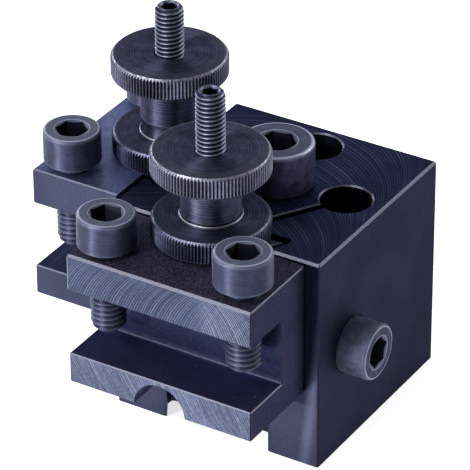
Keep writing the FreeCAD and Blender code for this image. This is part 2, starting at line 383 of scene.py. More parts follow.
def new_material(name: str) -> tuple[bpy.types.Material, NodeSheet, bpy.types.Node]:
    """Make a material with one Principled shader.

    Args:
        name: Name of the material.

    Returns:
        The material, its node sheet and the shader node.
    """
    material = bpy.data.materials.new(name)
    material.use_nodes = True
    sheet = NodeSheet(material.node_tree)
    shader = next(n for n in material.node_tree.nodes if n.type == "BSDF_PRINCIPLED")
    sheet.fill(shader, {"Metallic": 1.0, "Specular Tint": (0.5, 0.5, 0.55, 1.0)})
    return material, sheet, shader


def put_bump(sheet: NodeSheet, shader: bpy.types.Node, strength: float, height: object) -> None:
    """Feed a bump to the shader's normal."""
    bump = sheet.add("ShaderNodeBump", {"Strength": strength, "Distance": BUMP_DEPTH, "Height": height})
    sheet.fill(shader, {"Normal": bump.outputs[0]})


@dataclass(frozen=True)
class MilledFinish:
    """Oil-blackened milled steel, with a tone for each kind of face; some of these tones are painted shade
    and painted light.

    The outward faces look to the front, or to the left on a swapped finish, and plane is how far out the
    outermost one lies. Levels are heights, all in millimetres.
    """

    name: str
    top: Colour
    inner_top: Colour
    outer: Colour
    # Tone of outward faces above outer_level; on the block it is painted shade of the holder above.
    outer_upper: Colour
    outer_level: float
    # Tone of outward faces behind the outermost one, darker on the block and the left holder: painted shade.
    recess: Colour
    # Tone of faces that look right or back, darker than the front on the block and the front holder: painted
    # shade.
    side: Colour
    # Colour of rubbed upward bevels, and of the painted light on bevels that look down.
    worn: Colour
    glint: Colour
    top_arcs: Arcs
    outer_arcs: tuple[Arcs, ...]
    plane: float
    swapped: bool = False
    speckle: float = 0.5
    top_glint: float = 0.3
    outer_glint: float = 0.6
    roughness: float = 0.36
    top_roughness: float = 0.42
    side_roughness: float = 0.5
    bevel_roughness: float = 0.4
    bump: float = 0.35
    grain_height: float = 0.35
    outer_grain: float = 0.35
    top_grain: float = 0.35
    side_grain: float = 0.35
    inner_level: float = 30.0
    top_sheen: Sheen | None = None
    outer_sheen: Sheen | None = None
    hole_rims: tuple[HoleRim, ...] = ()
    rim_glint: Colour = (0.50, 0.53, 0.66)
    # Tone of upright bevels that look left: painted highlight.
    lit_left_corner: Colour = (0.12, 0.12, 0.16)
    right_corner_shade: float = 0.6
    # Share of the worn colour on bevels that look down: painted light.
    under_bevel_light: float = 0.6
    # A bright line and haze along the foot of the recessed faces, at foot_level: painted reflection.
    foot_level: float = -FAR
    foot_highlight: Colour = (0.34, 0.36, 0.46)
    foot_highlight_haze: float = 0.25
    foot_start: float = 0.2
    foot_reaches: tuple[float, float] = (0.45, 1.4)

    def material(self, groups: Groups) -> bpy.types.Material:
        """Build the material.

        Args:
            groups: The shared shader groups.

        Returns:
            The finished material.
        """
        material, sheet, shader = new_material(self.name)
        place = sheet.place_in_mm()
        x, y, z = sheet.split(place)
        if self.swapped:
            x, y = y, x
        face = sheet.group(groups.facing)
        grain = sheet.group(groups.grain, {"Place": place})
        looks_out = face["Left"] if self.swapped else face["Front"]
        outermost = sheet.ramp(sheet.times(y, -1.0), self.plane - 2.0 * FADE, self.plane - FADE)
        outward = sheet.times(looks_out, outermost)
        top = self.arcs(sheet, groups, self.top_arcs, y, x)
        outer = [self.arcs(sheet, groups, arcs, x, z) for arcs in self.outer_arcs]
        top_light = self.light(sheet, face["Up"], self.top_glint, [top], place, self.top_sheen)
        top_light = sheet.times(top_light, sheet.blend(grain["Clouds"], 0.45, 1.1))
        outer_light = self.light(sheet, outward, self.outer_glint, outer, place, self.outer_sheen)
        light = sheet.plus(top_light, outer_light)
        colour = self.colour(sheet, face, grain, z, light, sheet.minus(looks_out, outward))
        # Painted highlights on the edges of the holes in the upper face.
        for rim in self.hole_rims:
            shine = sheet.times(face["Up"], self.rim_mask(sheet, rim, x, y))
            colour = sheet.tint(shine, colour, self.rim_glint)
        rough = sheet.blend(face["Up"], self.roughness, self.top_roughness)
        rough = sheet.blend(sheet.most(face["Right"], face["Back"]), rough, self.side_roughness)
        rough = sheet.blend(face["Bevel"], rough, self.bevel_roughness)
        rough = sheet.plus(rough, sheet.times(grain["Grain"], GRAIN_ROUGHNESS))
        sheet.fill(shader, {"Base Color": colour, "Roughness": rough})
        heights = [sheet.times(top[0], face["Up"], self.top_glint)]
        heights += [sheet.times(marks[0], outward) for marks in outer]
        height = sheet.plus(*heights, sheet.times(grain["Grain"], self.grain_height))
        put_bump(sheet, shader, self.bump, height)
        return material

    @staticmethod
    def arcs(sheet: NodeSheet, groups: Groups, arcs: Arcs, along: object, across: object) -> tuple:
        """Place one set of cutter arcs.

        Args:
            sheet: Sheet of the material.
            groups: The shared shader groups.
            arcs: Sizes of the set.
            along: Coordinate along the feed.
            across: Coordinate across the feed.

        Returns:
            The set's height and glint, faded out beside the part of the face that it covers.
        """
        marks = sheet.group(groups.cutter, {
            "Along": along, "Across": across, "Middle": arcs.middle, "Radius": arcs.radius,
            "Feed": arcs.feed, "Side": arcs.side, "Even": arcs.even})
        over = sheet.rest(sheet.ramp(across, arcs.high - FADE, arcs.high))
        started = sheet.ramp(along, arcs.start, arcs.start + arcs.run_in)
        share = sheet.times(sheet.ramp(across, arcs.low, arcs.low + FADE), over, started, arcs.gain)
        return sheet.times(marks["Height"], share), sheet.times(marks["Glint"], share)

    @staticmethod
    def rim_mask(sheet: NodeSheet, rim: HoleRim, x: object, y: object) -> Value:
        """Where a hole's edge shines.

        Args:
            sheet: Sheet of the material.
            rim: The hole's edge.
            x: Place along x in millimetres.
            y: Place along y in millimetres.

        Returns:
            The mask, from 0 to 1.
        """
        across, along = sheet.minus(x, rim.x), sheet.minus(y, rim.y)
        away = sheet.math("SQRT", sheet.plus(sheet.times(across, across), sheet.times(along, along)))
        ring = sheet.rest(sheet.ramp(away, rim.radius + rim.width / 2, rim.radius + rim.width))
        right, forth = rim.bright_side
        turned = sheet.plus(sheet.times(across, right), sheet.times(along, forth))
        facing = sheet.ramp(turned, rim.radius * 0.55, rim.radius * 0.95)
        return sheet.times(ring, sheet.blend(facing, rim.faint, 1.0))

    @staticmethod
    def light(sheet: NodeSheet, mask: object, share: float, sets: list, place: object,
              sheen: Sheen | None) -> Value:
        """Share of the glint colour on one kind of face.

        Args:
            sheet: Sheet of the material.
            mask: Where that kind of face is.
            share: Share of the arcs' glint.
            sets: Height and glint of each set of arcs.
            place: Object coordinates in millimetres.
            sheen: Soft band across the face, or None.

        Returns:
            The share, from 0 up.
        """
        total = sheet.most(0.0, *(sheet.times(glint, share) for _, glint in sets))
        if sheen:
            away = sheet.math("ABSOLUTE", sheet.minus(sheet.reach(place, sheen.direction), sheen.centre))
            band = sheet.rest(sheet.ramp(away, 0.0, sheen.half_width))
            total = sheet.plus(total, sheet.times(band, sheen.share))
        return sheet.times(total, mask)

    def colour(self, sheet: NodeSheet, face: object, grain: object, z: object, light: object,
               recessed: object) -> Value:
        """Base colour: a tone for each kind of face with painted shade on some, then glints, grain, rubbed
        edges and painted light on edges that look down or left.

        Args:
            sheet: Sheet of the material.
            face: Outputs of the facing group.
            grain: Outputs of the grain group.
            z: Height in millimetres.
            light: Share of the glint colour.
            recessed: Where an outward face lies behind the outermost one.

        Returns:
            The colour's output.
        """
        above = sheet.ramp(z, self.inner_level, self.inner_level + FADE)
        upper = sheet.tint(above, self.inner_top, self.top)
        # Faces that look right or back take the side tone: painted shade.
        shade_painted_sides = sheet.most(face["Right"], face["Back"])
        # Outward faces above outer_level take outer_upper, painted shade on the block; recessed ones take the
        # recess tone, painted shade.
        high = sheet.ramp(z, self.outer_level - 2.0 * FADE, self.outer_level)
        outer = sheet.tint(recessed, sheet.tint(high, self.outer, self.outer_upper), self.recess)
        colour = sheet.tint(shade_painted_sides, sheet.tint(face["Up"], outer, upper), self.side)
        # Painted reflection: a bright line and haze along the foot of the recessed faces.
        line, haze = (
            sheet.rest(sheet.ramp(z, self.foot_level + self.foot_start, self.foot_level + reach))
            for reach in self.foot_reaches)
        foot = sheet.times(recessed, sheet.most(line, sheet.times(haze, self.foot_highlight_haze)))
        colour = sheet.tint(foot, colour, self.foot_highlight)
        specks = sheet.times(grain["Specks"], self.speckle)
        colour = sheet.tint(sheet.math("MAXIMUM", light, specks, clamp=True), colour, self.glint)
        spread = sheet.blend(sheet.times(face["Up"], above), self.outer_grain, self.top_grain)
        spread = sheet.blend(shade_painted_sides, spread, self.side_grain)
        centred = sheet.times(sheet.minus(grain["Grain"], 0.5), spread)
        shade = sheet.times(sheet.plus(1.0, centred), sheet.blend(grain["Clouds"], 0.85, 1.15))
        # Upright bevels that look right take a darker side tone, painted shade; those that look left take a
        # painted highlight.
        dark_corner = tuple(channel * self.right_corner_shade for channel in self.side)
        colour = sheet.tint(face["Right corner"], sheet.scaled(colour, shade), dark_corner)
        colour = sheet.tint(face["Left corner"], colour, self.lit_left_corner)
        # Upward bevels are rubbed bright; bevels that look down get painted light in the same colour.
        rubbed = sheet.most(face["Bevel"], sheet.times(face["Under"], self.under_bevel_light))
        rubbed = sheet.times(rubbed, sheet.blend(grain["Grain"], 0.55, 1.0))
        return sheet.tint(rubbed, colour, self.worn)


@dataclass(frozen=True)
class TurnedFinish:
    """Blackened turned steel with bright worn crests and rims, and painted shade where the wear is below
    zero.
    """

    name: str
    base: Colour
    glint: Colour
    worn: Colour
    roughness: float = 0.34
    anisotropy: float = 0.6
    rings: float = 0.5
    bump: float = 0.25
    tangent: str = "Z"
    # Painted shade in sockets, grooves and undercuts, where the wear is below zero.
    pit_shade: Colour = (0.007, 0.006, 0.014)
    worn_roughness: float = 0.4
    blotches: float = 0.15
    speckle: float = 0.35
    grain_height: float = 0.3
    grazing: Colour = (0.5, 0.5, 0.55)
    # Specular tint of the painted shade.
    pit_shade_grazing: Colour = (0.1, 0.1, 0.12)
    metal: float = 1.0

    def material(self, groups: Groups) -> bpy.types.Material:
        """Build the material.

        Args:
            groups: The shared shader groups.

        Returns:
            The finished material.
        """
        material, sheet, shader = new_material(self.name)
        grain = sheet.group(groups.grain, {"Place": sheet.place_in_mm()})
        distance, wear = (sheet.add("ShaderNodeAttribute", attribute_name=name).outputs["Fac"]
                          for name in ("turning", "worn"))
        rings = sheet.group(groups.turning, {"Distance": distance})
        crest = sheet.most(wear, 0.0)
        # Wear below zero marks painted shade.
        pit_shade = sheet.math("MULTIPLY", wear, -1.0, clamp=True)
        specks = sheet.times(grain["Specks"], self.speckle)
        light = sheet.most(sheet.times(rings["Glint"], self.rings), specks)
        broad = sheet.blend(grain["Blotches"], 1.0 - self.blotches, 1.0 + self.blotches)
        shade = sheet.times(sheet.blend(grain["Grain"], 0.8, 1.12), broad)
        colour = sheet.scaled(sheet.tint(light, self.base, self.glint), shade)
        rubbed = sheet.times(crest, sheet.blend(grain["Grain"], 0.6, 1.0))
        rough = sheet.plus(self.roughness, sheet.times(grain["Grain"], GRAIN_ROUGHNESS))
        smooth = sheet.math("MULTIPLY", crest, 4.0, clamp=True)
        sheet.fill(shader, {
            "Base Color": sheet.tint(pit_shade, sheet.tint(rubbed, colour, self.worn), self.pit_shade),
            "Roughness": sheet.blend(crest, rough, self.worn_roughness),
            "Specular Tint": sheet.tint(pit_shade, self.grazing, self.pit_shade_grazing),
            "Metallic": self.metal,
            "Anisotropic": sheet.blend(smooth, self.anisotropy, 0.0),
            "Anisotropic Rotation": 0.25,
            "Tangent": sheet.add("ShaderNodeTangent", direction_type="RADIAL", axis=self.tangent).outputs[0],
        })
        height = sheet.plus(sheet.times(rings["Height"], self.rings),
                            sheet.times(grain["Grain"], self.grain_height))
        put_bump(sheet, shader, self.bump, height)
        return material


def unrolled(sheet: NodeSheet, columns: object, rows: object, tall: object) -> tuple:
    """Flat grid that is to be rolled up into a skin.

    Args:
        sheet: Sheet of the geometry tree.
        columns: Number of faces round the skin.
        rows: Number of faces up the skin.
        tall: Height of the skin.

    Returns:
        The grid, the share of a turn of each point and its height.
    """
    grid = sheet.add("GeometryNodeMeshGrid", {
        "Size X": 1.0, "Size Y": tall, "Vertices X": sheet.plus(columns, 1.0),
        "Vertices Y": sheet.plus(rows, 1.0)}).outputs["Mesh"]
    x, y, _ = sheet.split(sheet.add("GeometryNodeInputPosition").outputs[0])
    return grid, sheet.plus(x, 0.5), sheet.plus(y, sheet.times(tall, 0.5))


def from_middle(sheet: NodeSheet, count: object) -> Value:
    """How far a place is from the middle of a repeating step: 0 in its middle, 1 at its ends.

    Args:
        sheet: Sheet of the geometry tree.
        count: The place, counted in steps. A little is added, so that the steps' ends round the same way.

    Returns:
        The distance, from 0 to 1.
    """
    phase = sheet.math("FRACT", sheet.plus(count, 0.001))
    return sheet.times(sheet.math("ABSOLUTE", sheet.minus(phase, 0.5)), 2.0)


def roll_up(sheet: NodeSheet, grid: object, shape: tuple, worn: object, material: object,
            result: bpy.types.Node) -> None:
    """Roll a grid up, mark its wear, weld its seam, and end the tree.

    Args:
        sheet: Sheet of the geometry tree.
        grid: The flat grid.
        shape: Share of a turn, radius and height of each point.
        worn: Wear of each point; below zero it marks painted shade.
        material: The tree's material input.
        result: The tree's output node.
    """
    around, radius, height = shape
    angle = sheet.times(around, math.tau)
    across, along = (sheet.times(radius, sheet.math(part, angle)) for part in ("COSINE", "SINE"))
    place = sheet.add("ShaderNodeCombineXYZ", {0: across, 1: along, 2: height}).outputs[0]
    marked = sheet.add("GeometryNodeStoreNamedAttribute", {"Geometry": grid, "Name": "worn", "Value": worn},
                       data_type="FLOAT", domain="POINT").outputs[0]
    shaped = sheet.add("GeometryNodeSetPosition", {"Geometry": marked, "Position": place}).outputs[0]
    weld = {"Geometry": shaped, "Distance": SEAM_WELD}
    welded = sheet.add("GeometryNodeMergeByDistance", weld).outputs[0]
    real = sheet.add("GeometryNodeRealizeInstances", {0: welded}).outputs[0]
    painted = sheet.add("GeometryNodeSetMaterial", {"Geometry": real, "Material": material}).outputs[0]
    sheet.fill(result, {"Geometry": painted})


def thread_tree() -> bpy.types.NodeTree:
    """Geometry tree for the skin of a right-handed thread that stands on its own base.

    Returns:
        A tree with the thread's sizes as named inputs.
    """
    inputs = numbers("Length", "Pitch", "Major", "Minor", "Foot", "Top", "Wear")
    inputs |= {"Segments": Socket.COUNT, "Rows": Socket.COUNT, "Material": Socket.MATERIAL}
    sheet, given, result = new_group("GeometryNodeTree", "thread", inputs, {"Geometry": Socket.GEOMETRY})
    root_from, flank, rubbed_from = 0.75, 0.6, 0.6
    length, pitch = given["Length"], given["Pitch"]
    turns = sheet.math("CEIL", sheet.plus(sheet.math("DIVIDE", length, pitch), 1.0))
    tall = sheet.times(turns, pitch)
    grid, around, row = unrolled(sheet, given["Segments"], sheet.times(turns, given["Rows"]), tall)
    climb = sheet.minus(sheet.plus(row, sheet.times(around, pitch)), pitch)
    height = sheet.most(sheet.least(climb, length), 0.0)
    away = from_middle(sheet, sheet.math("DIVIDE", row, pitch))
    crest = sheet.math("DIVIDE", sheet.minus(root_from, away), flank, clamp=True)
    cut = sheet.plus(given["Minor"], sheet.times(crest, sheet.minus(given["Major"], given["Minor"])))
    at_foot = sheet.plus(given["Foot"], height)
    at_top = sheet.plus(given["Top"], sheet.minus(length, height))
    shape = (around, sheet.least(cut, at_foot, at_top), height)
    rubbed = sheet.math("DIVIDE", sheet.minus(crest, rubbed_from), 1.0 - rubbed_from, clamp=True)
    roll_up(sheet, grid, shape, sheet.times(rubbed, given["Wear"]), given["Material"], result)
    return sheet.tree


def knurl_tree() -> bpy.types.NodeTree:
    """Geometry tree for the straight-knurled band between a disc's two chamfered rims.

    Returns:
        A tree with the band's sizes as named inputs.
    """
    inputs = numbers("Radius", "Rim", "Depth", "Height")
    inputs |= {name: Socket.COUNT for name in ("Teeth", "Steps", "Rows")} | {"Material": Socket.MATERIAL}
    sheet, given, result = new_group("GeometryNodeTree", "knurl", inputs, {"Geometry": Socket.GEOMETRY})
    land, flank = 0.1, 0.8
    # Crests and rims are worn bright; the grooves get painted shade as wear below zero.
    crest_wear, groove_shade, rim_wear = 0.55, 0.85, 0.22
    columns = sheet.times(given["Teeth"], given["Steps"])
    grid, around, height = unrolled(sheet, columns, given["Rows"], given["Height"])
    away = from_middle(sheet, sheet.times(around, given["Teeth"]))
    groove = sheet.math("DIVIDE", sheet.minus(away, land), flank, clamp=True)
    tooth = sheet.minus(given["Radius"], sheet.times(groove, given["Depth"]))
    slope = sheet.plus(given["Rim"], sheet.least(height, sheet.minus(given["Height"], height)))
    on_rim = sheet.math("LESS_THAN", slope, sheet.plus(tooth, 0.01 * MM))
    crest = sheet.math("POWER", sheet.rest(groove), 2.0)
    tooth_wear_and_shade = sheet.minus(sheet.times(crest, crest_wear), sheet.times(groove, groove_shade))
    worn = sheet.blend(on_rim, tooth_wear_and_shade, sheet.most(sheet.times(on_rim, rim_wear), tooth_wear_and_shade))
    shape = (around, sheet.least(tooth, slope), height)
    roll_up(sheet, grid, shape, worn, given["Material"], result)
    return sheet.tree


def add_object(name: str, data: bpy.types.ID) -> bpy.types.Object:
    """Put a new object in the scene.

    Args:
        name: Name of the object.
        data: Its mesh, lamp or camera.

    Returns:
        The new object.
    """
    thing = bpy.data.objects.new(name, data)
    bpy.context.scene.collection.objects.link(thing)
    return thing


def grown_mesh(tree: bpy.types.NodeTree, values: dict[str, object]) -> bpy.types.Mesh:
    """Plain mesh that a geometry tree gives for these sizes.

    Args:
        tree: Geometry tree.
        values: Input name to value.

    Returns:
        The evaluated mesh.
    """
    carrier = add_object("carrier", bpy.data.meshes.new("carrier"))
    modifier = carrier.modifiers.new("grow", "NODES")
    modifier.node_group = tree
    for item in tree.interface.items_tree:
        if item.in_out == "INPUT" and item.name in values:
            modifier[item.identifier] = values[item.name]
    carrier.update_tag()
    ready = carrier.evaluated_get(bpy.context.evaluated_depsgraph_get())
    mesh = bpy.data.meshes.new_from_object(ready)
    carrier.modifiers.remove(modifier)
    bpy.data.objects.remove(carrier)
    return mesh


@dataclass(frozen=True)
class Thread:
    """Right-handed thread, in millimetres. Foot and top are the radii at its two ends."""

    radius: float
    pitch: float
    length: float
    foot: float
    top: float
    wear: float
    segments: int
    rows: int = 8

    def mesh(self, tree: bpy.types.NodeTree, material: bpy.types.Material) -> bpy.types.Mesh:
        """Skin of the thread, from z = 0 up.

        Args:
            tree: The thread tree.
            material: Material of the skin.

        Returns:
            The open mesh, in metres.
        """
        sizes = {"Length": self.length, "Pitch": self.pitch, "Major": self.radius,
                 "Minor": root_radius(self.radius, self.pitch), "Foot": self.foot, "Top": self.top}
        values = {name: size * MM for name, size in sizes.items()}
        values |= {"Wear": self.wear, "Segments": self.segments, "Rows": self.rows, "Material": material}
        return grown_mesh(tree, values)


def root_radius(radius: float, pitch: float) -> float:
    """Radius at a thread's root."""
    return radius - THREAD_DEPTH * pitch


@dataclass(frozen=True)
class Ring:
    """One ring of a turned skin, in millimetres, round or on a hexagonal socket's outline.

    On a hexagonal ring, radius is half the width across the flats, and fall is how much the corners stand
    above the flats on the countersink.
    """

    radius: float
    height: float
    # Wear of the ring; below zero it marks painted shade.
    worn: float = 0.0
    hexagonal: bool = False
    fall: float = 0.0

    def points(self, segments: int) -> np.ndarray:
        """Points of the ring.

        Args:
            segments: Number of points.

        Returns:
            One row of x, y and z for each point.
        """
        angles = np.arange(segments) * math.tau / segments
        radii = np.full(segments, self.radius)
        heights = np.full(segments, self.height)
        if self.hexagonal:
            sixth = math.pi / 3
            radii = self.radius / np.cos(np.mod(angles, sixth) - sixth / 2)
            heights = self.height + (radii - self.radius) * self.fall
        return np.stack([radii * np.cos(angles), radii * np.sin(angles), heights], axis=1)


@dataclass
class Skin:
    """Closed mesh built from turned rings and grown bands, in millimetres.

    Edges sharper than sharp_angle, in degrees, stay sharp.
    """

    segments: int
    sharp_angle: float = 32.0
    vertices: list[Sequence[float]] = field(default_factory=list)
    faces: list[Sequence[int]] = field(default_factory=list)
    # Wear of each point; below zero it marks painted shade.
    worn: list[float] = field(default_factory=list)
    turning: list[float] = field(default_factory=list)

    def turn(self, rings: Sequence[Ring], tip: float | None = None) -> None:
        """Add a turned stretch.

        Args:
            rings: Rings from one end of the stretch to the other.
            tip: Height of a centre point that closes the last ring.
        """
        run = 0.0
        for number, ring in enumerate(rings):
            low = len(self.vertices)
            if number:
                before = rings[number - 1]
                run += math.hypot(ring.radius - before.radius, ring.height - before.height)
                self.join(low - self.segments)
            self.vertices.extend(ring.points(self.segments))
            self.worn.extend([ring.worn] * self.segments)
            self.turning.extend([run] * self.segments)
        if tip is not None:
            self.close(low, tip)

    def join(self, low: int) -> None:
        """Join a ring to the next one with a band of faces.

        Args:
            low: Index of the ring's first point.
        """
        for i in range(self.segments):
            j = (i + 1) % self.segments
            self.faces.append((low + i, low + j, low + self.segments + j, low + self.segments + i))

    def close(self, low: int, tip: float) -> None:
        """Close a ring with a fan.

        Args:
            low: Index of the ring's first point.
            tip: Height of the centre point.
        """
        centre = len(self.vertices)
        self.vertices.append((0.0, 0.0, tip))
        self.worn.append(self.worn[low])
        self.turning.append(0.0)
        for i in range(self.segments):
            self.faces.append((low + i, low + (i + 1) % self.segments, centre))

    def graft(self, mesh: bpy.types.Mesh, lift: float) -> None:
        """Add a grown mesh.

        Args:
            mesh: Mesh in metres, with a worn attribute.
            lift: How far to raise it, in millimetres.
        """
        first = len(self.vertices)
        spots = np.zeros(len(mesh.vertices) * 3, np.float32)
        mesh.vertices.foreach_get("co", spots)
        spots = spots.reshape(-1, 3).astype(float) / MM
        spots[:, 2] += lift
        marks = np.zeros(len(mesh.vertices), np.float32)
        mesh.attributes["worn"].data.foreach_get("value", marks)
        self.vertices.extend(spots)
        self.worn.extend(marks)
        self.turning.extend(spots[:, 2])
        self.faces.extend(tuple(first + i for i in polygon.vertices) for polygon in mesh.polygons)

    def mesh(self, name: str, material: bpy.types.Material) -> bpy.types.Mesh:
        """Weld everything into one closed mesh in metres.

        Args:
            name: Name of the mesh.
            material: Material of all its faces.

        Returns:
            The finished mesh.
        """
        mesh = bpy.data.meshes.new(name)
        mesh.from_pydata(np.array(self.vertices) * MM, [], self.faces)
        for title, values in (("worn", self.worn), ("turning", self.turning)):
            attribute = mesh.attributes.new(title, "FLOAT", "POINT")
            attribute.data.foreach_set("value", np.array(values, np.float32))
        shape = bmesh.new()
        shape.from_mesh(mesh)
        bmesh.ops.remove_doubles(shape, verts=shape.verts, dist=MESH_WELD)
        bmesh.ops.dissolve_degenerate(shape, edges=shape.edges, dist=SHORTEST_EDGE)
        bmesh.ops.recalc_face_normals(shape, faces=shape.faces)
        shape.to_mesh(mesh)
        open_edges = sum(1 for edge in shape.edges if len(edge.link_faces) != 2)
        shape.free()
        mesh.shade_smooth()
        mesh.set_sharp_from_angle(angle=math.radians(self.sharp_angle))
        mesh.materials.append(material)
        log.info("%s: %d faces, %d open edges", name, len(mesh.polygons), open_edges)
        return mesh


def add_piece(name: str, mesh: bpy.types.Mesh, node: str, place: Matrix) -> None:
    """Put a finished mesh in the scene in place of a frame node.

    Args:
        name: Name of the piece.
        mesh: Mesh at the origin.
        node: Node that the piece stands for.
        place: Where the mesh goes.
    """
    mesh.transform(place)
    piece = add_object(name, mesh)
    bodies = frame["record"]["behaviour"]["bodies"]
    body = next(body for body, nodes in bodies.items() if node in nodes)
    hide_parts(node)
    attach(piece, body)
    log.info("%s rides on %s", name, body)


def node_foot(node: str) -> Matrix:
    """Place at the middle of a frame node's lower end."""
    low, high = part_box(node)
    return Matrix.Translation(((low.x + high.x) / 2, (low.y + high.y) / 2, low.z))


@dataclass
class MilledParts:
    """The block and the two tool holders, which keep the frame's solids."""

    groups: Groups
    # On the block, the darker upper front, the recess and the side tones are painted shade, and the outer
    # sheen and the hole rims are painted highlights.
    block: MilledFinish = MilledFinish(
        name="block_steel", top=(0.026, 0.029, 0.074), inner_top=(0.026, 0.029, 0.074),
        outer=(0.046, 0.050, 0.090), outer_upper=(0.022, 0.022, 0.050), outer_level=12.5,
        recess=(0.022, 0.022, 0.050), side=(0.025, 0.024, 0.048), worn=(0.125, 0.125, 0.165),
        glint=(0.17, 0.19, 0.30), top_arcs=Arcs(-4.0, 25.0, 0.80, -1.0),
        outer_arcs=(Arcs(20.0, 60.0, 1.6, 1.0, gain=0.3),), plane=20.0,
        speckle=0.3, top_glint=0.5, outer_glint=0.15, side_grain=1.1,
        outer_sheen=Sheen((1.0, 0.0, -0.12), 17.2, 1.6, 0.38),
        hole_rims=(HoleRim(-0.2, 13.8, 4.5), HoleRim(13.0, 0.9, 4.5)))
    # On the front holder, the side tone is painted shade, the pale left corner a painted highlight and the
    # foot line a painted reflection.
    front_holder: MilledFinish = MilledFinish(
        name="front_holder_steel", top=(0.075, 0.066, 0.118), inner_top=(0.038, 0.042, 0.095),
        outer=(0.066, 0.079, 0.138), outer_upper=(0.038, 0.048, 0.090), outer_level=27.0,
        recess=(0.054, 0.063, 0.140), side=(0.034, 0.034, 0.068), worn=(0.13, 0.13, 0.16),
        glint=(0.30, 0.33, 0.45), top_arcs=Arcs(0.0, 400.0, 1.3, 1.0),
        outer_arcs=(Arcs(27.0, 16.0, 0.46, 1.0, low=27.0, gain=0.55, even=0.22),
                    Arcs(27.0, 16.0, 0.50, -1.0, start=5.0, low=27.0, gain=1.1, even=0.22),
                    Arcs(27.0, 16.0, 0.52, 1.0, high=27.0, gain=1.15),
                    Arcs(8.0, 30.0, 0.40, -1.0, high=27.0, gain=0.8)),
        plane=37.3, speckle=0.8, top_glint=0.0, outer_glint=0.6, top_roughness=0.6, top_grain=1.8,
        side_grain=0.9, lit_left_corner=(0.60, 0.63, 0.76), foot_level=20.1)
    # On the left holder, the pale top tone and the top sheen are painted light, and the darker recess tone is
    # painted shade.
    left_holder: MilledFinish = MilledFinish(
        name="left_holder_steel", top=(0.185, 0.222, 0.420), inner_top=(0.044, 0.048, 0.105),
        outer=(0.050, 0.056, 0.100), outer_upper=(0.050, 0.056, 0.098), outer_level=27.0,
        recess=(0.026, 0.032, 0.062), side=(0.075, 0.082, 0.140), worn=(0.11, 0.115, 0.15),
        glint=(0.30, 0.33, 0.46), top_arcs=Arcs(0.0, 400.0, 1.1, 1.0),
        outer_arcs=(Arcs(27.0, 16.0, 0.42, 1.0, low=27.0),
                    Arcs(27.0, 16.0, 0.50, -1.0, start=3.0, low=27.0),
                    Arcs(27.0, 16.0, 0.58, 1.0, high=27.0, gain=1.4)),
        plane=37.5, swapped=True, speckle=0.3, top_glint=0.1, outer_glint=0.5, top_grain=0.7,
        top_sheen=Sheen((0.854, 0.520, 0.0), -29.0, 1.3, 0.35))

    def build(self) -> None:
        """Dress the three milled pieces."""
        finishes = {"tool_post_block": self.block, "front_holder": self.front_holder,
                    "left_holder": self.left_holder}
        for node, finish in finishes.items():
            material = finish.material(self.groups)
            thing = frame["nodes"][node]
            if not thing.material_slots:
                thing.data.materials.append(material)
            for slot in thing.material_slots:
                slot.material = material
            log.info("%s dressed with %s", node, material.name)


